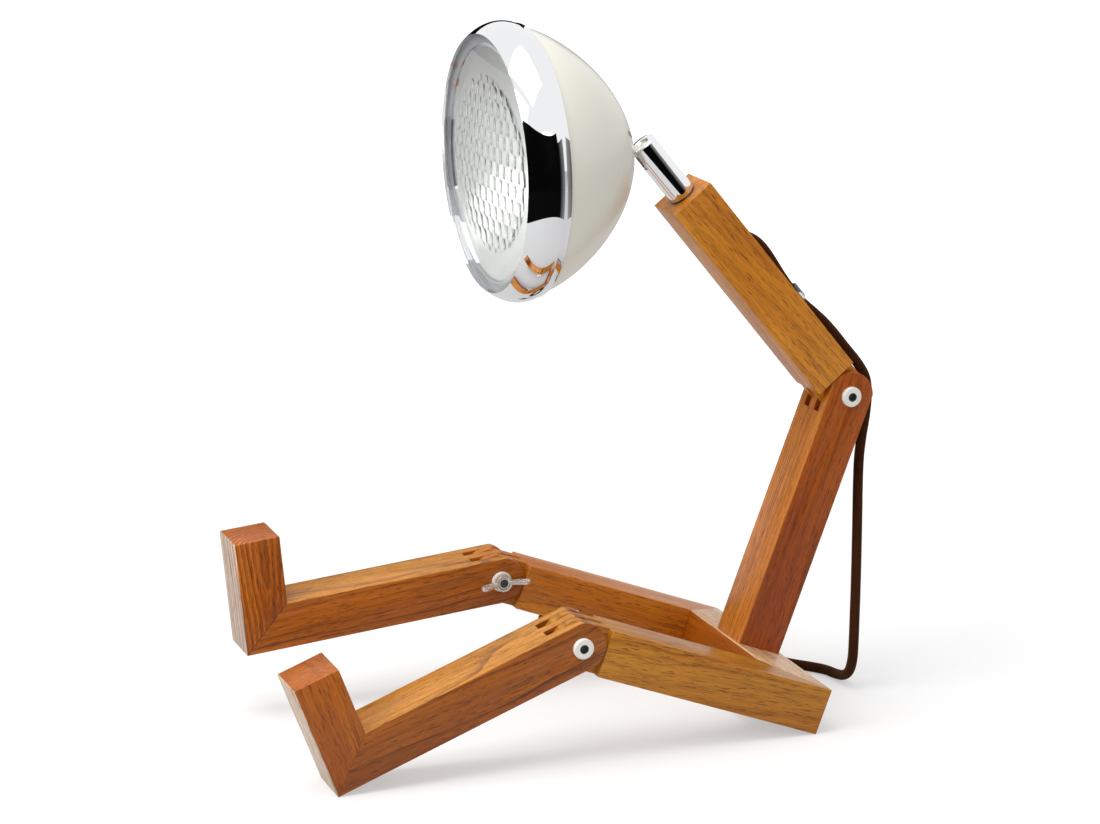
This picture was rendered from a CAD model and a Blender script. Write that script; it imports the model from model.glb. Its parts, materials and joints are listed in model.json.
"""A jointed wooden figure lamp with a headlamp head, on a pale floor in soft studio light."""
import json
import math

import bmesh
import bpy
from mathutils import Matrix, Vector


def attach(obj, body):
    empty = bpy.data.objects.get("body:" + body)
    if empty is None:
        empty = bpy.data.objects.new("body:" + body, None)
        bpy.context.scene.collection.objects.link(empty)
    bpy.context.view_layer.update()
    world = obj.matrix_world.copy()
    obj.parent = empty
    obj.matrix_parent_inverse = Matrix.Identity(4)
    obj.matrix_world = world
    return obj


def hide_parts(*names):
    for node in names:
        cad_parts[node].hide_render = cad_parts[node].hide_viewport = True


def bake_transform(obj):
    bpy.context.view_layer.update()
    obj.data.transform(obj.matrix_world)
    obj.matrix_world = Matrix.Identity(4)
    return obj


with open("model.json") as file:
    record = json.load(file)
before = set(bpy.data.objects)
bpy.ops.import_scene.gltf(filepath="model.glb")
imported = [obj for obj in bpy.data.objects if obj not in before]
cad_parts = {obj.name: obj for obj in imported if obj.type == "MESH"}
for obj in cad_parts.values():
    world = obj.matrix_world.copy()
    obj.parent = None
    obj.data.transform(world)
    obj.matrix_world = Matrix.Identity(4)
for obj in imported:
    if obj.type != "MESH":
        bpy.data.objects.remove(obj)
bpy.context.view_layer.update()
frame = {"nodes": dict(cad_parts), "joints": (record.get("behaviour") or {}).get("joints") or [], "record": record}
nodes = frame["nodes"]
body_of = {n: b for b, ns in frame["record"]["behaviour"]["bodies"].items() for n in ns}
joint_at = {j["name"]: Vector(j["pos_m"]) for j in frame["joints"]}
scene = bpy.context.scene
MM = 0.001

# Sizes in millimetres and angles in degrees, as in part.scad
BEAM_H, SEAT_H, THIGH_LEN = 27, 27, 157
SEAT_TILT, TORSO_LEAN, NECK_LEAN, RIGHT_PITCH = 20.7, 20.7, 39.3, 5.4
SHIN_LEN, NECK_LEN, STEM_LEN, BALL_DROP = 156, 158, 39.5, 5.8
BOWL_R, BOWL_DEPTH, BOWL_T, BOWL_OFFSET = 74.2, 61.4, 1.2, 12.2
RIM_DEPTH, LENS_OPENING_R, RIM_T, LENS_T = 23.6, 71.2, 1.2, 3
HEAD_PITCH, CORD_D, CORD_ANGLE = 0.8, 6, 27
CORD_EXIT = NECK_LEN - 15 - 3.6 - BEAM_H / 2 / math.tan(math.radians(CORD_ANGLE))
CORD_R = CORD_D / 2
HALF_H = BEAM_H / 2


def place(origin, pitch):
    """The frame of a beam: its origin, and its +Z turned about X by pitch degrees."""
    return Matrix.Translation(origin) @ Matrix.Rotation(math.radians(pitch), 4, "X")


knee = (joint_at["left_knee"] + joint_at["right_knee"]) / 2
shoulder = joint_at["shoulder"]
ball = joint_at["head_tilt"]
tilt = math.radians(SEAT_TILT)
seat_rear_y = knee.y - MM * (-THIGH_LEN * math.cos(tilt) + SEAT_H / 2 * math.sin(tilt))
knee_z = knee.z / MM
LEFT_PITCH = math.degrees(
    math.asin(knee_z / math.hypot(SHIN_LEN, HALF_H)) - math.atan(HALF_H / SHIN_LEN)
)
seat_frame = place(Vector((0, seat_rear_y, 0)), -SEAT_TILT)
torso_frame = place(shoulder, -TORSO_LEAN)
neck_frame = place(shoulder, NECK_LEAN)
head_frame = place(ball, 90 + HEAD_PITCH)


# ---------------------------------------------------------------- camera
AZIMUTH, ELEVATION = 69.41, 14.32
CAMERA_DISTANCE = 1.87013
TARGET_AHEAD, TARGET_UP = 0.13047, 0.18113
camera_target = Vector((0, seat_rear_y - TARGET_AHEAD, TARGET_UP))
FOCAL_PX, FRAME_W = 3318.64, 1100
az, el = math.radians(AZIMUTH), math.radians(ELEVATION)
back = Vector((math.sin(az) * math.cos(el), -math.cos(az) * math.cos(el), math.sin(el)))
camera_data = bpy.data.cameras.new("camera")
camera = bpy.data.objects.new("camera", camera_data)
scene.collection.objects.link(camera)
camera.location = camera_target + back * CAMERA_DISTANCE
camera.rotation_euler = back.to_track_quat("Z", "Y").to_euler()
camera_data.sensor_fit = "HORIZONTAL"
camera_data.sensor_width = 36
camera_data.lens = 36 * FOCAL_PX / FRAME_W
camera_data.clip_end = 50
scene.camera = camera


# ---------------------------------------------------------------- node helpers
class Nodes:
    """A material's node tree with short ways to add nodes."""

    def __init__(self, name):
        self.material = bpy.data.materials.new(name)
        self.material.use_nodes = True
        self.tree = self.material.node_tree
        self.shader = self.tree.nodes["Principled BSDF"]

    def add(self, kind, **settings):
        node = self.tree.nodes.new(kind)
        for key, value in settings.items():
            setattr(node, key, value)
        return node

    def put(self, socket, value):
        if isinstance(value, bpy.types.NodeSocket):
            self.tree.links.new(value, socket)
        elif value is not None:
            socket.default_value = value

    def math(self, operation, a, b=None, c=None, clamp=False):
        node = self.add("ShaderNodeMath", operation=operation, use_clamp=clamp)
        for socket, value in zip(node.inputs, (a, b, c)):
            self.put(socket, value)
        return node.outputs[0]

    def noise(self, vector, scale, detail=2.0, rough=0.5):
        node = self.add("ShaderNodeTexNoise")
        self.put(node.inputs["Vector"], vector)
        for name, value in (("Scale", scale), ("Detail", detail), ("Roughness", rough)):
            self.put(node.inputs[name], value)
        return node.outputs[0]

    def ramp(self, value, stops):
        node = self.add("ShaderNodeValToRGB")
        items = node.color_ramp.elements
        while len(items) < len(stops):
            items.new(0.5)
        for item, (position, colour) in zip(items, stops):
            item.position = position
            item.color = (
                (*colour, 1) if isinstance(colour, tuple) else (colour, colour, colour, 1)
            )
        self.put(node.inputs[0], value)
        return node.outputs[0]

    def mix(self, factor, a, b, blend="MIX"):
        node = self.add("ShaderNodeMix", data_type="RGBA", blend_type=blend)
        self.put(node.inputs[0], factor)
        for socket, value in ((node.inputs[6], a), (node.inputs[7], b)):
            if isinstance(value, tuple):
                value = (*value, 1)
            self.put(socket, value)
        return node.outputs[2]

    def scaled(self, vector, scale):
        node = self.add("ShaderNodeVectorMath", operation="MULTIPLY")
        self.put(node.inputs[0], vector)
        node.inputs[1].default_value = scale
        return node.outputs[0]

    def local(self, where):
        """Object coordinates seen from a frame, so that +Z runs along a beam."""
        coords = self.add("ShaderNodeTexCoord")
        mapping = self.add("ShaderNodeMapping", vector_type="TEXTURE")
        self.put(mapping.inputs["Vector"], coords.outputs["Object"])
        mapping.inputs["Location"].default_value = where.to_translation()
        mapping.inputs["Rotation"].default_value = where.to_euler()
        return mapping.outputs[0]

    def local_y(self, where):
        parts = self.add("ShaderNodeSeparateXYZ")
        self.put(parts.inputs[0], self.local(where))
        return parts.outputs[1]

    def bump(self, height, distance, strength=1.0):
        node = self.add("ShaderNodeBump")
        node.inputs["Strength"].default_value = strength
        node.inputs["Distance"].default_value = distance
        self.put(node.inputs["Height"], height)
        self.put(self.shader.inputs["Normal"], node.outputs[0])

    def set(self, **values):
        names = {
            "colour": "Base Color", "metallic": "Metallic", "roughness": "Roughness", "ior": "IOR",
            "coat": "Coat Weight", "coat_roughness": "Coat Roughness", "sheen": "Sheen Weight",
            "transmission": "Transmission Weight", "specular": "Specular IOR Level",
            "sheen_roughness": "Sheen Roughness", "sheen_tint": "Sheen Tint",
            "emission": "Emission Strength", "emission_colour": "Emission Color",
        }
        for key, value in values.items():
            if isinstance(value, tuple):
                value = (*value, 1)
            self.put(self.shader.inputs[names[key]], value)


def srgb(r, g, b):
    """A colour as it is seen, 0 to 255, turned into the linear numbers that the shader takes."""
    return tuple(
        c / 12.92 if c <= 0.04045 else ((c + 0.055) / 1.055) ** 2.4 for c in (r / 255, g / 255, b / 255)
    )


def wood(name, where, light, mid, dark, heart=(0.12, 0.05), gap=0.005, seed=0.0, line=0.6,
         sway=0.0035, lean=0.0, streak=0.35, pore=0.6, stripe=0.0, pale=None, pale_side=1, pale_at=0):
    """Oiled teak: growth rings round a far-off heart, fibres and pores along +Z of where.
    The face at +Y or -Y, past pale_at, has the colour pale."""
    m = Nodes(name)
    p = m.local(where @ Matrix.Rotation(math.radians(lean), 4, "X"))
    moved = m.add("ShaderNodeVectorMath", operation="ADD")
    m.put(moved.inputs[0], p)
    moved.inputs[1].default_value = (seed, seed * 1.7, seed * 2.3)
    q = moved.outputs[0]
    xyz = m.add("ShaderNodeSeparateXYZ")
    m.put(xyz.inputs[0], p)
    dx = m.math("SUBTRACT", xyz.outputs[0], heart[0])
    dy = m.math("SUBTRACT", xyz.outputs[1], heart[1])
    radius = m.math("SQRT", m.math("ADD", m.math("MULTIPLY", dx, dx), m.math("MULTIPLY", dy, dy)))
    slow = m.noise(m.scaled(q, (1, 1, 0.4)), 22, 2, 0.5)
    quick = m.noise(m.scaled(q, (1, 1, 0.22)), 120, 2, 0.5)
    radius = m.math("MULTIPLY_ADD", m.math("SUBTRACT", slow, 0.5), sway * 4, radius)
    radius = m.math("MULTIPLY_ADD", m.math("SUBTRACT", quick, 0.5), sway * 0.6, radius)
    turns = m.math("DIVIDE", radius, gap)
    chance = m.add("ShaderNodeTexWhiteNoise", noise_dimensions="1D")
    m.put(chance.inputs["W"], m.math("ADD", m.math("FLOOR", turns), seed * 10))
    across_ring = [(0.0, 0.5), (0.07, 0.1), (0.5, 0.0), (0.8, 0.28), (0.93, 1.0), (1.0, 0.9)]
    ring = m.ramp(m.math("FRACT", turns), across_ring)
    gate = m.ramp(m.noise(m.scaled(q, (1, 1, 0.3)), 70, 2, 0.6), [(0.36, 0.35), (0.58, 1.0)])
    strength = m.math("MULTIPLY_ADD", chance.outputs[0], 0.9, 0.15)
    ring = m.math("MULTIPLY", m.math("MULTIPLY", ring, gate), strength)
    fine = m.noise(m.scaled(q, (1, 1, 0.02)), 1500, 3, 0.65)
    wide = m.noise(m.scaled(q, (1, 1, 0.035)), 330, 3, 0.6)
    dashes = m.noise(m.scaled(q, (1, 1, 0.07)), 2100, 1, 0.4)
    dashes = m.ramp(dashes, [(0.60, 0.0), (0.66, 1.0)])
    tone = m.noise(m.scaled(q, (1, 1, 0.25)), 38, 1, 0.4)
    colour = m.mix(m.ramp(tone, [(0.34, 0.0), (0.66, 1.0)]), mid, light)
    if pale:
        depth = m.math("MULTIPLY", m.local_y(where), pale_side)
        colour = m.mix(m.math("GREATER_THAN", depth, pale_at - 0.5 * MM), colour, pale)
    colour = m.mix(m.math("MULTIPLY", m.ramp(wide, [(0.34, 1.0), (0.60, 0.0)]), streak), colour, dark)
    if stripe:
        band = m.math("SINE", m.math("MULTIPLY", turns, 2 * math.pi))
        colour = m.mix(m.math("MULTIPLY", m.ramp(band, [(0.0, 1.0), (0.35, 0.0)]), stripe), colour, dark)
    colour = m.mix(m.math("MULTIPLY", ring, line, clamp=True), colour, dark)
    colour = m.mix(0.6, colour, m.ramp(fine, [(0.30, 0.72), (0.5, 1.0), (0.72, 1.15)]), "MULTIPLY")
    deep = tuple(c * 0.55 for c in dark)
    colour = m.mix(m.math("MULTIPLY", dashes, pore), colour, deep)
    m.set(colour=colour, roughness=m.math("MULTIPLY_ADD", fine, 0.14, 0.27), specular=0.4)
    m.bump(m.math("MULTIPLY_ADD", dashes, -0.7, fine), 0.0001, 0.5)
    return m.material


def metal(name, colour, roughness, grain=0.05, shine=1.0):
    """Plated or bare metal with a faint uneven polish. A dull plating has less shine."""
    m = Nodes(name)
    coords = m.add("ShaderNodeTexCoord").outputs["Object"]
    spots = m.noise(coords, 900, 3, 0.6)
    rough = m.math("MULTIPLY_ADD", spots, grain, roughness)
    m.set(colour=colour, metallic=shine, roughness=rough)
    return m.material


PLASTIC_GRAIN, PLASTIC_BUMP = 2600, 0.00003


def plastic(name, colour, roughness, coat=0.0):
    """Moulded plastic, rubber or paint with a fine grain."""
    m = Nodes(name)
    coords = m.add("ShaderNodeTexCoord").outputs["Object"]
    grain = m.noise(coords, PLASTIC_GRAIN, 2, 0.5)
    tone = m.noise(coords, 60, 1, 0.4)
    darker = tuple(c * 0.9 for c in colour)
    m.set(
        colour=m.mix(m.ramp(tone, [(0.4, 0.0), (0.6, 1.0)]), darker, colour),
        roughness=m.math("MULTIPLY_ADD", grain, 0.08, roughness), coat=coat,
    )
    m.bump(grain, PLASTIC_BUMP, 0.6)
    return m.material


# ---------------------------------------------------------------- mesh helpers
def new_object(name, mesh, material, smooth_angle=None):
    obj = bpy.data.objects.new(name, mesh)
    scene.collection.objects.link(obj)
    mesh.materials.clear()
    mesh.materials.append(material)
    if smooth_angle is None:
        mesh.shade_flat()
    else:
        mesh.shade_smooth()
        mesh.set_sharp_from_angle(angle=math.radians(smooth_angle))
    return obj


EASED_FROM_ANGLE = 28


def dressed(node, material, bevel=0.0, segments=2, smooth=35):
    """A copy of a CAD node with eased edges, clean faces and a material of its own."""
    mesh = nodes[node].data.copy()
    work = bmesh.new()
    work.from_mesh(mesh)
    bmesh.ops.remove_doubles(work, verts=work.verts, dist=2e-6)
    bmesh.ops.dissolve_limit(
        work, angle_limit=math.radians(0.6), verts=work.verts, edges=work.edges, delimit=set()
    )
    if bevel:
        sharp = [
            e for e in work.edges
            if len(e.link_faces) == 2 and e.calc_face_angle(0) > math.radians(EASED_FROM_ANGLE)
        ]
        bmesh.ops.bevel(
            work, geom=sharp, offset=bevel * MM, offset_type="OFFSET", segments=segments,
            profile=0.5, affect="EDGES", clamp_overlap=True,
        )
    work.to_mesh(mesh)
    work.free()
    obj = new_object(node + "_look", mesh, material, smooth)
    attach(obj, body_of[node])
    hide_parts(node)
    return obj


def lathe(name, profile, where, material, steps=144, smooth=35, closed=True):
    """A turned piece: profile is a list of (r, z) in millimetres round the +Z of where."""
    work = bmesh.new()
    rings = []
    for r, z in profile:
        if r < 1e-6:
            rings.append([work.verts.new((0, 0, z * MM))])
        else:
            rings.append([
                work.verts.new((
                    r * MM * math.cos(2 * math.pi * k / steps),
                    r * MM * math.sin(2 * math.pi * k / steps), z * MM,
                )) for k in range(steps)
            ])
    pairs = list(zip(rings, rings[1:]))
    if closed:
        pairs.append((rings[-1], rings[0]))
    for a, b in pairs:
        for k in range(steps):
            n = (k + 1) % steps
            corners = [a[k % len(a)], a[n % len(a)], b[n % len(b)], b[k % len(b)]]
            unique = list(dict.fromkeys(corners))
            if len(unique) > 2:
                work.faces.new(unique)
    bmesh.ops.recalc_face_normals(work, faces=work.faces)
    mesh = bpy.data.meshes.new(name)
    work.to_mesh(mesh)
    work.free()
    mesh.transform(where)
    return new_object(name, mesh, material, smooth)


def cut(obj, cutters):
    """Takes the cutters out of obj and deletes them."""
    for cutter in cutters:
        modifier = obj.modifiers.new("cut", "BOOLEAN")
        modifier.operation = "DIFFERENCE"
        modifier.solver = "EXACT"
        modifier.object = cutter
    graph = bpy.context.evaluated_depsgraph_get()
    graph.update()
    mesh = bpy.data.meshes.new_from_object(obj.evaluated_get(graph))
    obj.modifiers.clear()
    old = obj.data
    obj.data = mesh
    bpy.data.meshes.remove(old)
    for cutter in cutters:
        bpy.data.objects.remove(cutter)
    mesh.shade_smooth()
    mesh.set_sharp_from_angle(angle=math.radians(35))


def block(name, low, high, where, material):
    work = bmesh.new()
    bmesh.ops.create_cube(work, size=1)
    mesh = bpy.data.meshes.new(name)
    for v in work.verts:
        v.co = Vector([MM * (lo + (c + 0.5) * (hi - lo)) for c, lo, hi in zip(v.co, low, high)])
    work.to_mesh(mesh)
    work.free()
    mesh.transform(where)
    return new_object(name, mesh, material)


def stand_for(obj, *names):
    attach(obj, body_of[names[0]])
    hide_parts(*names)
    return obj


# ---------------------------------------------------------------- cord
def neck_point(y, z):
    return neck_frame @ Vector((0, y * MM, z * MM))


def rear_point(x, y, z):
    return Vector((x * MM, seat_rear_y + y * MM, z * MM))


def spline(points, steps):
    """The same smooth line through the route's points as in part.scad."""
    out = []
    for i in range(len(points) - 1):
        b, c = points[i], points[i + 1]
        a = points[i - 1] if i else 2 * b - c
        d = points[i + 2] if i + 2 < len(points) else 2 * c - b
        for k in range(steps):
            t = k / steps
            out.append(0.5 * (2 * b + (c - a) * t + (2 * a - 5 * b + 4 * c - d) * t * t
                              + (3 * b - a - 3 * c + d) * t ** 3))
    return out + [points[-1]]


CLIP_Z = 65
NECK_END = CLIP_Z - 16
GROOVE_DEPTH = 1.8
CORD_LIE = HALF_H + CORD_R + 0.2 - GROOVE_DEPTH
neck_route = [neck_point(*p) for p in (
    (HALF_H, CORD_EXIT), (HALF_H + 1.9, CORD_EXIT - 4), (HALF_H + 3.1, CORD_EXIT - 8),
    (HALF_H + 3.6, CORD_EXIT - 13), (HALF_H + 3.3, CORD_EXIT - 20),
    (CORD_LIE + 0.8, (CORD_EXIT + CLIP_Z) / 2 - 6), (CORD_LIE, CLIP_Z + 8), (CORD_LIE, CLIP_Z - 3),
    (CORD_LIE + 0.7, CLIP_Z - 9), (HALF_H + CORD_R + 0.3, NECK_END),
)]
shoulder_end = shoulder + Vector((0, 15.5, -28)) * MM
shoulder_route = [neck_route[-1]]
shoulder_route += [neck_point(*p) for p in (
    (HALF_H + 4.6, NECK_END - 9), (HALF_H + 5.2, 30), (HALF_H + 5.2, 18), (HALF_H + 5.2, 4),
)]
shoulder_route += [shoulder + Vector(p) * MM for p in ((0, 16.9, 6), (0, 18.2, -4.2), (0, 17.4, -15.5))]
shoulder_route += [shoulder_end]

# The coil lies beside the seat, and the switch on the straight run into it
COIL_AT, COIL_R, COIL_PITCH, COIL_TURNS = (-147, -37), 43, CORD_D + 0.5, 6
RUN_TURN = 10
run_back = Vector((math.cos(math.radians(RUN_TURN)), math.sin(math.radians(RUN_TURN)), 0))


def eased(t):
    t = min(1, max(0, t))
    return t * t * (3 - 2 * t)


def coil_point(n):
    r = COIL_R - COIL_PITCH * min(n, COIL_TURNS - n)
    a = math.radians(90 + RUN_TURN + 360 * n)
    z = CORD_R + COIL_PITCH * eased((n - COIL_TURNS / 2 + 0.25) / 0.5)
    return rear_point(COIL_AT[0] + r * math.cos(a), COIL_AT[1] + r * math.sin(a), z)


SWITCH_HALF, SWITCH_BEFORE_COIL, SWITCH_CORD_Z = 43, 68.5, 5
coil_in = coil_point(0) + run_back * CORD_D * MM
coil_out = coil_point(COIL_TURNS) - run_back * CORD_D * MM
switch_mid = coil_point(0) + run_back * SWITCH_BEFORE_COIL * MM
switch_mid.z = SWITCH_CORD_Z * MM
switch_in = switch_mid + run_back * SWITCH_HALF * MM
switch_out = switch_mid - run_back * SWITCH_HALF * MM
DROP_Y = (shoulder.y - seat_rear_y) / MM + 14
drop_route = [shoulder_end] + [rear_point(*p) for p in (
    (0.4, DROP_Y - 0.1, shoulder_end.z / MM - 13), (4, DROP_Y - 2.2, 121), (10.5, DROP_Y - 5.2, 93),
    (17, DROP_Y - 8.4, 66), (21.2, DROP_Y - 10.7, 46), (23.2, DROP_Y - 11.9, 32.5),
    (21.7, DROP_Y - 11.7, 20.4), (15.9, DROP_Y - 10.8, 11), (7.2, DROP_Y - 10.2, 5.4),
    (-2.2, DROP_Y - 10.8, CORD_R + 0.3), (-10.8, DROP_Y - 13.3, CORD_R + 0.2),
    (-18, DROP_Y - 18.2, CORD_R + 0.2), (-31.3, DROP_Y - 31.3, CORD_R + 0.8),
)] + [switch_in]
link_route = [
    switch_out, switch_out - (run_back * 6 + Vector((0, 0, 0.6))) * MM,
    coil_in + (run_back * 6 + Vector((0, 0, 0.3))) * MM, coil_in,
]
tail_route = [coil_out] + [rear_point(*p) for p in (
    (-174, 0.8, 8.3), (-189, -3.4, 5.8), (-205, -10.5, 4.6), (-218, -19, 4.8), (-226.5, -30, 6.2),
    (-230, -42, 6.9),
)]
cord_line = spline(neck_route, 4)[:-1] + spline(shoulder_route, 4)[:-1] + spline(drop_route, 5)
cord_line += [switch_in.lerp(switch_out, k / 8) for k in range(1, 8)]
cord_line += spline(link_route, 4)[:-1] + [coil_in]
cord_line += [coil_point(n / 60) for n in range(0, COIL_TURNS * 60 + 1)]
cord_line += spline(tail_route, 5)


def tube_mesh(name, line, radius, sides, first_side):
    """A closed tube along a line, with its length and turn kept as UV for the braid."""
    work = bmesh.new()
    uv = work.loops.layers.uv.new("UVMap")
    side = Vector(first_side)
    rings, at = [], 0.0
    for i, p in enumerate(line):
        ahead = line[min(i + 1, len(line) - 1)] - line[max(i - 1, 0)]
        t = ahead.normalized()
        side = (side - side.dot(t) * t).normalized()
        other = t.cross(side)
        at += (p - line[i - 1]).length if i else 0
        rings.append((at, [
            work.verts.new(p + radius * (math.cos(a) * side + math.sin(a) * other))
            for a in (2 * math.pi * k / sides for k in range(sides))
        ]))
    for (at_a, a), (at_b, b) in zip(rings, rings[1:]):
        for k in range(sides):
            n = (k + 1) % sides
            face = work.faces.new((a[k], a[n], b[n], b[k]))
            u0, u1 = k / sides, (k + 1) / sides
            for loop, place_uv in zip(face.loops, ((u0, at_a), (u1, at_a), (u1, at_b), (u0, at_b))):
                loop[uv].uv = place_uv
    work.faces.new(list(reversed(rings[0][1])))
    work.faces.new(rings[-1][1])
    mesh = bpy.data.meshes.new(name)
    work.to_mesh(mesh)
    work.free()
    return mesh


STRANDS = 14


def textile(name, light, dark):
    """Braided textile: two families of strands that cross, by the tube's UV."""
    m = Nodes(name)
    coords = m.add("ShaderNodeTexCoord")
    xyz = m.add("ShaderNodeSeparateXYZ")
    m.put(xyz.inputs[0], coords.outputs["UV"])
    around = m.math("MULTIPLY", xyz.outputs[0], STRANDS)
    along = m.math("MULTIPLY", xyz.outputs[1], STRANDS / (math.pi * CORD_D * MM) * 0.8)
    left = m.math("SINE", m.math("MULTIPLY", m.math("ADD", around, along), math.pi))
    right = m.math("SINE", m.math("MULTIPLY", m.math("SUBTRACT", around, along), math.pi))
    weave = m.math("MULTIPLY", left, right)
    height = m.math("ABSOLUTE", weave)
    fuzz = m.noise(coords.outputs["Object"], 5200, 3, 0.7)
    tone = m.noise(coords.outputs["Object"], 260, 2, 0.5)
    colour = m.mix(m.ramp(height, [(0.1, 0.0), (0.8, 1.0)]), dark, light)
    colour = m.mix(m.ramp(tone, [(0.35, 0.0), (0.65, 0.4)]), colour, dark)
    m.set(colour=colour, roughness=0.85, sheen=0.35, sheen_roughness=0.3, specular=0.1)
    m.set(sheen_tint=srgb(190, 140, 90))
    m.bump(m.math("MULTIPLY_ADD", fuzz, 0.25, height), 0.0003, 0.9)
    return m.material


CORD_LIGHT, CORD_DARK = srgb(94, 50, 20), srgb(40, 20, 8)
cord_textile = textile("cord_textile", CORD_LIGHT, CORD_DARK)
cord = new_object("cord", tube_mesh("cord", cord_line, CORD_R * MM, 20, (1, 0, 0)), cord_textile, 60)
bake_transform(cord)
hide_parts("cord_neck", "cord_shoulder", "cord_drop", "cord_link", "cord_coil", "cord_tail")

# ---------------------------------------------------------------- wood
GOLD = (srgb(212, 142, 40), srgb(194, 122, 30), srgb(112, 56, 14))
AMBER = (srgb(234, 152, 36), srgb(216, 132, 28), srgb(126, 60, 13))
ORANGE = (srgb(222, 136, 34), srgb(202, 114, 24), srgb(104, 45, 9))
COPPER = (srgb(216, 120, 18), srgb(196, 98, 12), srgb(100, 40, 7))
TAN = (srgb(198, 108, 22), srgb(178, 92, 16), srgb(94, 41, 8))
BROWN = (srgb(180, 100, 30), srgb(160, 84, 22), srgb(86, 38, 9))
RED = (srgb(190, 94, 8), srgb(172, 78, 5), srgb(92, 35, 4))
RUST = (srgb(172, 90, 8), srgb(156, 75, 5), srgb(90, 36, 3))
PALE_TOP, PALE_FRONT = srgb(216, 142, 44), srgb(216, 130, 42)
PALE_SOLE, PALE_SEAT = srgb(232, 206, 182), srgb(240, 196, 150)
left_leg_frame = place(joint_at["left_knee"], LEFT_PITCH + 90)
right_leg_frame = place(joint_at["right_knee"], RIGHT_PITCH + 90)
left_foot_frame = place(joint_at["left_knee"], LEFT_PITCH)
right_foot_frame = place(joint_at["right_knee"], RIGHT_PITCH)
left_thigh_frame = place(joint_at["left_knee"], 90 - SEAT_TILT)
right_thigh_frame = place(joint_at["right_knee"], 90 - SEAT_TILT)
quarter = math.radians(90)
crossbar_frame = seat_frame @ Matrix.Rotation(quarter, 4, "Y") @ Matrix.Rotation(quarter, 4, "Z")
EASE = 0.6
wood_looks = {
    "left_thigh": (left_thigh_frame, GOLD, dict(
        heart=(-0.03, -0.16), seed=0.3, gap=0.0062, line=0.75, lean=5, sway=0.006)),
    "right_thigh": (right_thigh_frame, ORANGE, dict(heart=(0.05, 0.13), seed=1.1, gap=0.007, line=0.35)),
    "seat_crossbar": (crossbar_frame, RUST, dict(
        heart=(0.10, -0.07), seed=2.2, line=0.4, pale=PALE_SEAT)),
    "left_shin": (left_leg_frame, BROWN, dict(
        heart=(-0.02, -0.15), seed=3.7, gap=0.0056, line=0.85, lean=-2.5, pale=PALE_TOP)),
    "right_shin": (right_leg_frame, TAN, dict(
        heart=(-0.03, -0.17), seed=4.4, gap=0.0050, line=0.9, lean=2, pale=PALE_TOP)),
    "left_foot": (left_foot_frame, TAN, dict(
        heart=(-0.02, 0.10), seed=5.6, gap=0.0045, line=0.5, sway=0.008,
        pale=PALE_SOLE, pale_side=-1)),
    "right_foot": (right_foot_frame, COPPER, dict(
        heart=(0.02, -0.14), seed=6.8, gap=0.0032, line=0.95, stripe=0.35,
        pale=PALE_SOLE, pale_side=-1)),
    "torso": (torso_frame, RED, dict(
        heart=(-0.10, 0.02), seed=7.9, gap=0.0026, line=0.8, sway=0.0012,
        pale=PALE_FRONT, pale_side=-1)),
    "neck_beam": (neck_frame, AMBER, dict(heart=(-0.04, -0.14), seed=8.3, gap=0.0072, line=0.4, lean=3)),
}
for node, (where, (light, mid, dark), extra) in wood_looks.items():
    turned_back, side = where.inverted(), extra.get("pale_side", 1)
    extra["pale_at"] = max(side * (turned_back @ v.co).y for v in nodes[node].data.vertices)
    dressed(node, wood(node + "_wood", where, light, mid, dark, **extra), bevel=EASE, smooth=30)
dowel = wood("dowel_wood", seat_frame, srgb(216, 184, 140), srgb(200, 165, 120), srgb(150, 112, 70), seed=9.1)
for node in ("seat_dowels", "left_foot_dowels", "right_foot_dowels"):
    dressed(node, dowel, bevel=0.3)

# ---------------------------------------------------------------- fittings
satin_nickel = metal("satin_nickel", srgb(244, 242, 234), 0.42, 0.10, shine=0.15)
bright_nickel = metal("bright_nickel", srgb(226, 223, 214), 0.20, 0.10, shine=0.7)
zinc = metal("zinc", (0.62, 0.63, 0.64), 0.30, 0.12)
brass = metal("brass", (0.78, 0.57, 0.25), 0.22, 0.10)
chrome = metal("chrome", (0.86, 0.865, 0.88), 0.012, 0.02)
dark_gloss = plastic("dark_gloss", (0.016, 0.017, 0.024), 0.22, coat=0.6)
SOCKET_R = 2.6
for hinge in ("left_knee", "right_knee", "shoulder"):
    # The bolt's socket is dark, as in the photograph
    m = Nodes(hinge + "_bolt_nickel")
    spots = m.noise(m.add("ShaderNodeTexCoord").outputs["Object"], 900, 3, 0.6)
    xyz = m.add("ShaderNodeSeparateXYZ")
    m.put(xyz.inputs[0], m.local(place(joint_at[hinge], 0)))
    across, up = xyz.outputs[1], xyz.outputs[2]
    from_axis = m.math("SQRT", m.math("ADD", m.math("MULTIPLY", across, across), m.math("MULTIPLY", up, up)))
    plated = m.math("GREATER_THAN", from_axis, SOCKET_R * MM)
    m.set(colour=m.mix(plated, (0.05, 0.05, 0.05), srgb(248, 246, 238)), metallic=0.15)
    m.set(roughness=m.math("MULTIPLY_ADD", spots, 0.10, 0.42))
    dressed(hinge + "_bolt", m.material, bevel=0.12, smooth=30)
for node in ("left_knee_washer", "right_knee_washer", "shoulder_washer"):
    dressed(node, satin_nickel, bevel=0.2)
for node in ("left_knee_wing_nut", "right_knee_wing_nut", "shoulder_wing_nut"):
    dressed(node, bright_nickel, bevel=0.3, segments=3, smooth=45)
dressed("torso_screws", zinc, bevel=0.2)
dressed("clip_screw", bright_nickel, bevel=0.1)
dressed("cord_clip", dark_gloss, bevel=0.25)
dressed("stem_washer", dark_gloss, bevel=0.2)
dressed("stem_nipple", brass, bevel=0.2)
dressed("ball_stud", bright_nickel, bevel=0.15, smooth=45)
dressed("stud_nut", zinc, bevel=0.3)
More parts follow.
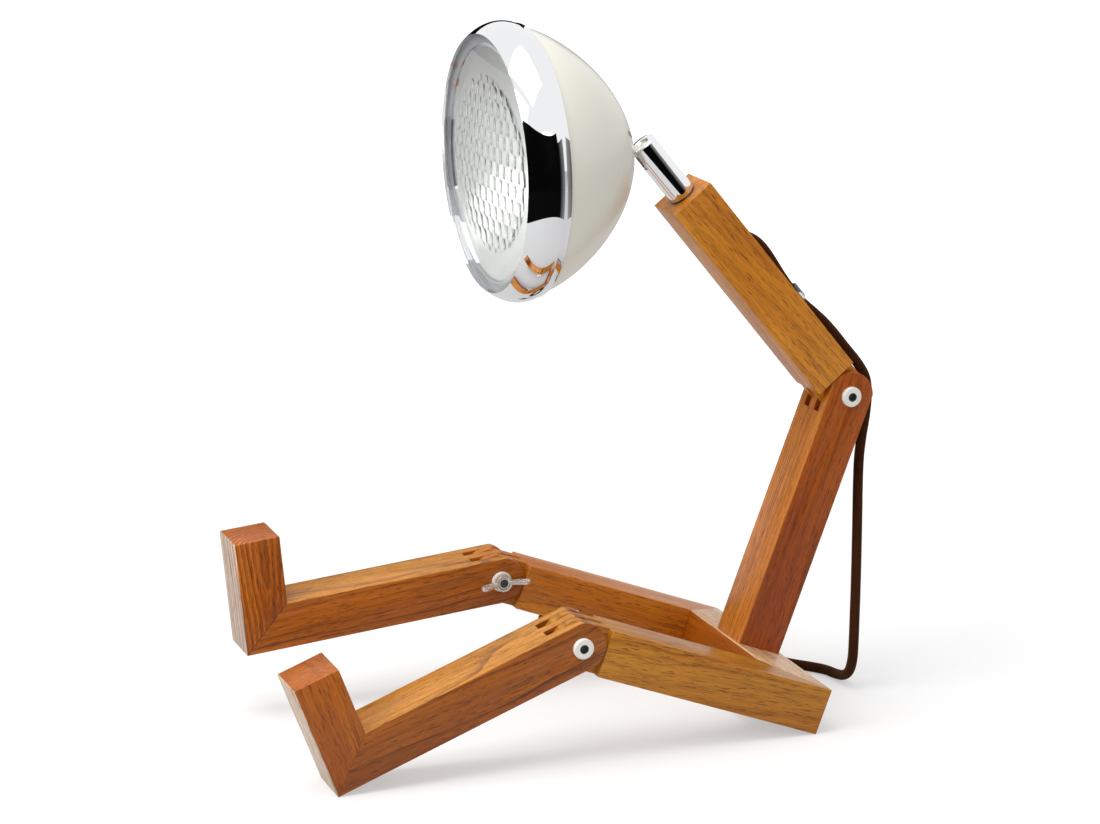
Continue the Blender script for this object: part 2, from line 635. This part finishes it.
dressed("ball_seat", plastic("bush_plastic", (0.86, 0.84, 0.78), 0.45), bevel=0.15)

tube_z0 = NECK_LEN + 0.7
tube_z1 = NECK_LEN + STEM_LEN
ball_z = tube_z1 - BALL_DROP
stem_profile = [
    (5.06, tube_z0 + 0.3), (5.36, tube_z0), (7.7, tube_z0), (8.0, tube_z0 + 0.3),
    (8.0, tube_z1 - 0.9), (7.93, tube_z1 - 0.5), (7.7, tube_z1 - 0.2), (7.3, tube_z1),
    (4.3, tube_z1), (4.0, tube_z1 - 0.3), (4.0, ball_z + 3.91), (5.65, ball_z + 2.3),
    (5.65, NECK_LEN + 11.5), (5.06, NECK_LEN + 11.5),
]
stem = lathe("stem_tube_look", stem_profile, neck_frame, chrome, 128)
SLOT_HALF, SLOT_LEN = 3.6, 13
slot_low = (-SLOT_HALF, -10, tube_z1 - SLOT_LEN)
slot_high = (SLOT_HALF, 0, tube_z1 + 1)
cut(stem, [block("slot", slot_low, slot_high, neck_frame, chrome)])
stand_for(stem, "stem_tube")

# ---------------------------------------------------------------- head
SEAM_Z = BOWL_OFFSET + BOWL_DEPTH
FRONT_Z = SEAM_Z + RIM_DEPTH
COLLAR_LEN = RIM_DEPTH - 7
COLLAR_R = BOWL_R - 1.4


def bowl_curve(r, depth, steps):
    out = []
    for i in range(steps + 1):
        t = math.radians(90 * i / steps)
        out.append((r * max(0, math.cos(t)) ** 1.04, SEAM_Z - depth * math.sin(t) ** 1.48))
    out[-1] = (0, SEAM_Z - depth)
    return out


enamel = Nodes("enamel")
enamel_coords = enamel.add("ShaderNodeTexCoord").outputs["Object"]
enamel_peel = enamel.noise(enamel_coords, 420, 2, 0.5)
enamel_tone = enamel.noise(enamel_coords, 14, 1, 0.4)
enamel.set(
    colour=enamel.mix(
        enamel.ramp(enamel_tone, [(0.3, 0.0), (0.7, 1.0)]), srgb(238, 236, 222), srgb(242, 240, 228)),
    roughness=enamel.math("MULTIPLY_ADD", enamel_peel, 0.05, 0.26), coat=0.25, coat_roughness=0.12,
)
enamel.bump(enamel_peel, 0.00004, 0.35)
bowl = lathe(
    "head_shell_look",
    [(COLLAR_R, SEAM_Z + COLLAR_LEN), (COLLAR_R, SEAM_Z + 0.6)] + bowl_curve(BOWL_R, BOWL_DEPTH, 56)
    + list(reversed(bowl_curve(BOWL_R - BOWL_T, BOWL_DEPTH - BOWL_T, 40)))
    + [(COLLAR_R - BOWL_T, SEAM_Z + 0.6), (COLLAR_R - BOWL_T, SEAM_Z + COLLAR_LEN)],
    head_frame, enamel.material, 160,
)
cutters = []
VENT_FROM, VENT_TO, VENT_HALF, VENT_REACH = 22.5, 35.5, 1.5, 42.9
for angle in (28, 148, 268):
    turned = head_frame @ Matrix.Rotation(math.radians(angle), 4, "Z")
    cutters.append(block(
        "vent", (VENT_FROM, -VENT_HALF, 0), (VENT_TO, VENT_HALF, VENT_REACH), turned, enamel.material))
    for end in (VENT_FROM, VENT_TO):
        cutters.append(lathe(
            "vent_end", [(0, 0), (VENT_HALF, 0), (VENT_HALF, VENT_REACH), (0, VENT_REACH)],
            turned @ Matrix.Translation((end * MM, 0, 0)), enamel.material, 24, closed=False))
cutters.append(lathe(
    "stud_hole", [(0, 0), (3.1, 0), (3.1, 16), (0, 16)], head_frame, enamel.material, 32, closed=False))
cut(bowl, cutters)
stand_for(bowl, "head_shell")

RIM_REAR_R = BOWL_R + 0.9
RIM_BULGE, RIM_BAND, RIM_LIP = 4.3, 5, 2
BAND_T = RIM_BAND / RIM_DEPTH


def rim_r(t):
    return RIM_REAR_R * (1 - t) + LENS_OPENING_R * t + RIM_BULGE * 4 * t * (1 - t)


inner_end = 1 - RIM_LIP / RIM_DEPTH
outer_curve = [BAND_T + i * (1 - BAND_T) / 30 for i in range(31)]
inner_curve = [BAND_T + i * (inner_end - BAND_T) / 20 for i in range(20, -1, -1)]
rim_profile = [(RIM_REAR_R + 0.3, SEAM_Z), (RIM_REAR_R + 0.8, SEAM_Z + 0.4),
               (rim_r(BAND_T) - 0.55, SEAM_Z + RIM_BAND - 0.3), (rim_r(BAND_T) - 0.35, SEAM_Z + RIM_BAND)]
rim_profile += [(rim_r(t), SEAM_Z + t * RIM_DEPTH) for t in outer_curve]
rim_profile += [(LENS_OPENING_R, SEAM_Z + inner_end * RIM_DEPTH)]
rim_profile += [(rim_r(t) - RIM_T, SEAM_Z + t * RIM_DEPTH) for t in inner_curve]
rim_profile += [(RIM_REAR_R + 0.8 - RIM_T, SEAM_Z)]
rim = lathe("head_rim_look", rim_profile, head_frame, chrome, 200, smooth=25)
stand_for(rim, "head_rim")

# Inside the rim
FLANGE_Z = SEAM_Z + COLLAR_LEN
REFLECTOR_T = 0.8
GASKET_Z = FLANGE_Z + 0.05 + REFLECTOR_T
GASKET_T = FRONT_Z - RIM_LIP - LENS_T - GASKET_Z - 0.1
LENS_Z = GASKET_Z + GASKET_T
LENS_R = LENS_OPENING_R + 0.7
CLEAR_R = LENS_OPENING_R - 5.8
LENS_DOME = 4
CELL_ROW, CELL_W, CELL_REACH, CELL_DEPTH = 8.1, 9.4, 5.4, 0.8
# The fluted area is a little wider than high and fades out at its edge
FLUTED_ACROSS, FLUTED_UP, FLUTED_R, FLUTED_FADE = 0.93, 1.12, 50, 6
DOME_SINK, LENS_WALL = 1.2, 1.6


def flute(x, y):
    """Height of the pillow-shaped cells, from 0 at their edges to 1 at their middles."""
    best = 9e9
    row = round(y / CELL_ROW)
    for r in (row - 1, row, row + 1):
        shift = 0.5 * CELL_W * (r % 2)
        c = round((x - shift) / CELL_W)
        for k in (c - 1, c, c + 1):
            dx, dy = x - shift - k * CELL_W, y - r * CELL_ROW
            best = min(best, dx * dx + dy * dy)
    return 1 - best / (CELL_REACH * CELL_REACH)


def lens_mesh():
    steps, rings = 180, 90
    work = bmesh.new()
    front, rear = [], []
    dome_front = LENS_Z + LENS_T - DOME_SINK
    for i in range(rings + 1):
        r = CLEAR_R * i / rings
        lift = LENS_DOME * (1 - (r / CLEAR_R) ** 2)
        ring_f, ring_r = [], []
        for k in range(steps if i else 1):
            a = 2 * math.pi * k / steps
            x, y = r * math.cos(a), r * math.sin(a)
            out_at = math.hypot(x * FLUTED_ACROSS, y * FLUTED_UP)
            cell = flute(x, y) * CELL_DEPTH * (1 - eased((out_at - FLUTED_R) / FLUTED_FADE))
            ring_f.append(work.verts.new((x * MM, y * MM, (dome_front + lift) * MM)))
            ring_r.append(work.verts.new((x * MM, y * MM, (dome_front + lift - LENS_WALL - cell) * MM)))
        front.append(ring_f)
        rear.append(ring_r)
    edge = []
    for r, z in (
        (LENS_OPENING_R - 0.6, LENS_Z + LENS_T), (LENS_R, LENS_Z + LENS_T - 0.1),
        (LENS_R, LENS_Z), (CLEAR_R - 1.2, LENS_Z),
    ):
        edge.append([
            work.verts.new((
                r * MM * math.cos(2 * math.pi * k / steps),
                r * MM * math.sin(2 * math.pi * k / steps), z * MM,
            )) for k in range(steps)
        ])
    chain = front + edge + list(reversed(rear))
    for a, b in zip(chain, chain[1:]):
        for k in range(steps):
            n = (k + 1) % steps
            unique = list(dict.fromkeys([a[k % len(a)], a[n % len(a)], b[n % len(b)], b[k % len(b)]]))
            work.faces.new(unique)
    bmesh.ops.recalc_face_normals(work, faces=work.faces)
    mesh = bpy.data.meshes.new("lens_look")
    work.to_mesh(mesh)
    work.free()
    mesh.transform(head_frame)
    return mesh


glass = Nodes("lens_glass")
glass_coords = glass.add("ShaderNodeTexCoord").outputs["Object"]
glass_spots = glass.noise(glass_coords, 300, 2, 0.5)
glass.set(colour=(0.975, 0.985, 0.975), roughness=glass.math("MULTIPLY_ADD", glass_spots, 0.03, 0.02),
          transmission=1.0, ior=1.45)
light_path = glass.add("ShaderNodeLightPath")
clear = glass.add("ShaderNodeBsdfTransparent")
clear.inputs[0].default_value = (0.88, 0.89, 0.88, 1)
through = glass.add("ShaderNodeMixShader")
glass.put(through.inputs[0], light_path.outputs["Is Shadow Ray"])
glass.put(through.inputs[1], glass.shader.outputs[0])
glass.put(through.inputs[2], clear.outputs[0])
glass.put(glass.tree.nodes["Material Output"].inputs["Surface"], through.outputs[0])
lens = new_object("lens_look", lens_mesh(), glass.material, 30)
stand_for(lens, "lens")

gasket = plastic("gasket_rubber", (0.30, 0.30, 0.32), 0.5)
dressed("lens_gasket", gasket, bevel=0.2)
# The reflector's coating is partly diffuse, and duller towards its edge
silver_nodes = Nodes("reflector_silver")
silver_at = silver_nodes.add("ShaderNodeSeparateXYZ")
silver_nodes.put(silver_at.inputs[0], silver_nodes.local(head_frame))
silver_x, silver_y = silver_at.outputs[0], silver_at.outputs[1]
silver_r = silver_nodes.math("SQRT", silver_nodes.math(
    "ADD", silver_nodes.math("MULTIPLY", silver_x, silver_x),
    silver_nodes.math("MULTIPLY", silver_y, silver_y)))
silver_spots = silver_nodes.noise(silver_nodes.add("ShaderNodeTexCoord").outputs["Object"], 500, 2, 0.5)
silver_nodes.set(
    colour=silver_nodes.ramp(
        silver_nodes.math("DIVIDE", silver_r, CLEAR_R * MM), [(0.3, 0.97), (0.95, 0.50)]),
    metallic=0.3, roughness=silver_nodes.math("MULTIPLY_ADD", silver_spots, 0.08, 0.14),
)
silver = silver_nodes.material
reflector_neck_r, board_z = 15, 44
reflector_r = CLEAR_R - 1
reflector_k = (FLANGE_Z - board_z - 2) / (reflector_r ** 2 - reflector_neck_r ** 2)


REFLECTOR_STEPS = 36


def bowl_of_light(shift_r, shift_z):
    """The curve of the reflector from its neck to its edge, moved by the two shifts."""
    out = []
    for i in range(REFLECTOR_STEPS + 1):
        r = reflector_neck_r + (reflector_r - reflector_neck_r) * i / REFLECTOR_STEPS
        out.append((r + shift_r, board_z + 2 + reflector_k * (r * r - reflector_neck_r ** 2) + shift_z))
    return out


reflector = lathe(
    "reflector_look",
    bowl_of_light(0, 0) + [(reflector_r, FLANGE_Z + REFLECTOR_T), (COLLAR_R - 0.3, FLANGE_Z + REFLECTOR_T),
                           (COLLAR_R - 0.3, FLANGE_Z + 0.05), (reflector_r + 1.1, FLANGE_Z + 0.05)]
    + list(reversed(bowl_of_light(0.9, -0.3))),
    head_frame, silver, 128,
)
stand_for(reflector, "reflector")
white_mask = plastic("board_white", (0.86, 0.86, 0.84), 0.4)
phosphor = plastic("led_phosphor", (0.90, 0.74, 0.25), 0.5)
dressed("led_board", white_mask, bevel=0.1)
dressed("led_chips", phosphor, bevel=0.15)
aluminium = metal("sink_aluminium", (0.66, 0.67, 0.68), 0.32, 0.15)
dressed("heat_sink", aluminium, bevel=0.15)
dressed("heat_sink_screws", zinc, bevel=0.15)
lead_white = plastic("lead_plastic", (0.80, 0.80, 0.78), 0.4)
for node in ("head_lead", "stem_lead"):
    dressed(node, lead_white, bevel=0.1)
inner_cord = textile("inner_textile", CORD_LIGHT, CORD_DARK)
for slot in nodes["cord_inner"].material_slots:
    slot.material = inner_cord

# ---------------------------------------------------------------- switch and plug
brown_plastic = plastic("brown_plastic", (0.062, 0.033, 0.022), 0.38)
for node, ease in (("switch_base", 0.6), ("switch_cover", 0.6), ("plug_body", 0.9)):
    dressed(node, brown_plastic, bevel=ease, segments=3)
dressed("switch_rocker", plastic("rocker_plastic", (0.10, 0.06, 0.045), 0.3), bevel=0.4, segments=3)
dressed("switch_pin", zinc, bevel=0.1)
dressed("plug_pins", brass, bevel=0.2)

# ---------------------------------------------------------------- studio
stage = Nodes("pale_floor")
floor_mesh = bpy.data.meshes.new("floor")
HALF = 8
floor_corners = [(-HALF, -HALF, 0), (HALF, -HALF, 0), (HALF, HALF, 0), (-HALF, HALF, 0)]
floor_mesh.from_pydata(floor_corners, [], [(0, 1, 2, 3)])
floor = new_object("floor", floor_mesh, stage.material)
stage.set(colour=(0.57, 0.57, 0.57), roughness=0.9, specular=0.1)
glow = stage.add("ShaderNodeEmission")
seen = stage.add("ShaderNodeLightPath")
from_middle = stage.add("ShaderNodeVectorMath", operation="LENGTH")
stage.put(from_middle.inputs[0], stage.add("ShaderNodeTexCoord").outputs["Object"])
# The lamps fade with distance, so the floor's own white takes over there
NEAR_GLOW, FAR_GLOW, GLOW_STARTS, GLOW_FULL = 0.44, 0.95, 0.25, 1.4
outward = stage.add("ShaderNodeMapRange", interpolation_type="SMOOTHSTEP")
stage.put(outward.inputs["Value"], from_middle.outputs["Value"])
outward.inputs["From Min"].default_value = GLOW_STARTS
outward.inputs["From Max"].default_value = GLOW_FULL
outward.inputs["To Min"].default_value = NEAR_GLOW
outward.inputs["To Max"].default_value = FAR_GLOW
reflected = stage.math("MULTIPLY_ADD", seen.outputs["Is Glossy Ray"], -0.8, 1.0)
stage.put(glow.inputs["Strength"], stage.math("MULTIPLY", outward.outputs[0], reflected))
either = stage.math("MAXIMUM", seen.outputs["Is Camera Ray"], stage.math(
    "MAXIMUM", seen.outputs["Is Glossy Ray"], seen.outputs["Is Transmission Ray"]))
black = stage.add("ShaderNodeEmission")
black.inputs["Strength"].default_value = 0.0
added = stage.add("ShaderNodeMixShader")
stage.put(added.inputs[0], either)
stage.put(added.inputs[1], black.outputs[0])
stage.put(added.inputs[2], glow.outputs[0])
total = stage.add("ShaderNodeAddShader")
stage.put(total.inputs[0], stage.shader.outputs[0])
stage.put(total.inputs[1], added.outputs[0])
stage.put(stage.tree.nodes["Material Output"].inputs["Surface"], total.outputs[0])

world = bpy.data.worlds.new("studio")
scene.world = world
world.use_nodes = True
tree = world.node_tree
tree.nodes.clear()
out = tree.nodes.new("ShaderNodeOutputWorld")
sky = tree.nodes.new("ShaderNodeBackground")
sky.inputs["Color"].default_value = (1, 1, 1, 1)
sky.inputs["Strength"].default_value = 0.5
white = tree.nodes.new("ShaderNodeBackground")
white.inputs["Color"].default_value = (1, 1, 1, 1)
white.inputs["Strength"].default_value = 1.0
path = tree.nodes.new("ShaderNodeLightPath")
seen_a = tree.nodes.new("ShaderNodeMath")
seen_a.operation = "MAXIMUM"
seen_b = tree.nodes.new("ShaderNodeMath")
seen_b.operation = "MAXIMUM"
mixer = tree.nodes.new("ShaderNodeMixShader")
tree.links.new(path.outputs["Is Camera Ray"], seen_a.inputs[0])
tree.links.new(path.outputs["Is Glossy Ray"], seen_a.inputs[1])
tree.links.new(seen_a.outputs[0], seen_b.inputs[0])
tree.links.new(path.outputs["Is Transmission Ray"], seen_b.inputs[1])
tree.links.new(seen_b.outputs[0], mixer.inputs[0])
tree.links.new(sky.outputs[0], mixer.inputs[1])
tree.links.new(white.outputs[0], mixer.inputs[2])
tree.links.new(mixer.outputs[0], out.inputs[0])


def softbox(name, at, aim, size, power):
    data = bpy.data.lights.new(name, "AREA")
    data.shape = "RECTANGLE"
    data.size, data.size_y = size
    data.energy = power
    obj = bpy.data.objects.new(name, data)
    scene.collection.objects.link(obj)
    obj.location = at
    obj.rotation_euler = (Vector(at) - Vector(aim)).to_track_quat("Z", "Y").to_euler()
    return obj


middle = Vector((0, 0, 0.18))
softbox("top_softbox", (0.1, -0.5, 1.9), middle, (1.4, 1.4), 20)
softbox("front_softbox", (0.3, -1.9, 1.3), middle, (1.2, 1.2), 20)
softbox("side_softbox", (1.9, -0.2, 0.9), middle, (1.2, 1.0), 4)

CARD_STEPS, CARD_GLOW = 24, 0.85


# Dark cards that only reflections and glass see. They stand for the unlit room on the camera's side,
# from the table's edge up, and for the gap at the back between the table and the backdrop.
def card(name, low_r, high_r, low_z, high_z, start, end, shade_from, shade_to):
    """A strip round the lamp between two bearings, counted from -Y towards +X."""
    m = Nodes(name)
    coords = m.add("ShaderNodeTexCoord")
    xyz = m.add("ShaderNodeSeparateXYZ")
    m.put(xyz.inputs[0], coords.outputs["Object"])
    bearing = m.math("ARCTAN2", xyz.outputs[0], m.math("MULTIPLY", xyz.outputs[1], -1.0))
    spread = m.add("ShaderNodeMapRange")
    m.put(spread.inputs["Value"], bearing)
    spread.inputs["From Min"].default_value = math.radians(start)
    spread.inputs["From Max"].default_value = math.radians(end)
    shade = m.ramp(spread.outputs[0], [(0.0, shade_from), (1.0, shade_to)])
    m.set(colour=shade, roughness=1.0, specular=0.0)
    # Through the fluted glass the room looks grey
    rays = m.add("ShaderNodeLightPath")
    m.set(emission_colour=(1.0, 1.0, 1.0))
    m.set(emission=m.math("MULTIPLY", rays.outputs["Is Transmission Ray"], CARD_GLOW))
    verts = []
    for k in range(CARD_STEPS + 1):
        a = math.radians(start + (end - start) * k / CARD_STEPS)
        for r, z in ((low_r, low_z), (high_r, high_z)):
            verts.append((r * math.sin(a), -r * math.cos(a), z))
    mesh = bpy.data.meshes.new(name)
    mesh.from_pydata(verts, [], [(2 * k, 2 * k + 2, 2 * k + 3, 2 * k + 1) for k in range(CARD_STEPS)])
    obj = new_object(name, mesh, m.material)
    obj.visible_camera = False
    obj.visible_diffuse = False
    obj.visible_shadow = False
    return obj


TABLE_EDGE, ROOM_R, ROOM_TOP = 0.50, 1.3, 1.02
GAP_R, GAP_LOW, GAP_HIGH = 2.0, 0.22, 0.80
BLACK, GREY = 0.003, 0.34
card("dark_floor", TABLE_EDGE, ROOM_R, 0.002, 0.002, 20, 118, BLACK, BLACK)
card("dark_room", ROOM_R, ROOM_R, 0.0, ROOM_TOP, 20, 118, BLACK, BLACK)
card("dim_floor", TABLE_EDGE, ROOM_R, 0.002, 0.002, 118, 142, BLACK, GREY)
card("dim_room", ROOM_R, ROOM_R, 0.0, ROOM_TOP - 0.2, 118, 142, BLACK, GREY)
card("dark_gap", GAP_R, GAP_R, GAP_LOW, GAP_HIGH, -124, -40, BLACK, BLACK)

scene.view_settings.view_transform = "Standard"
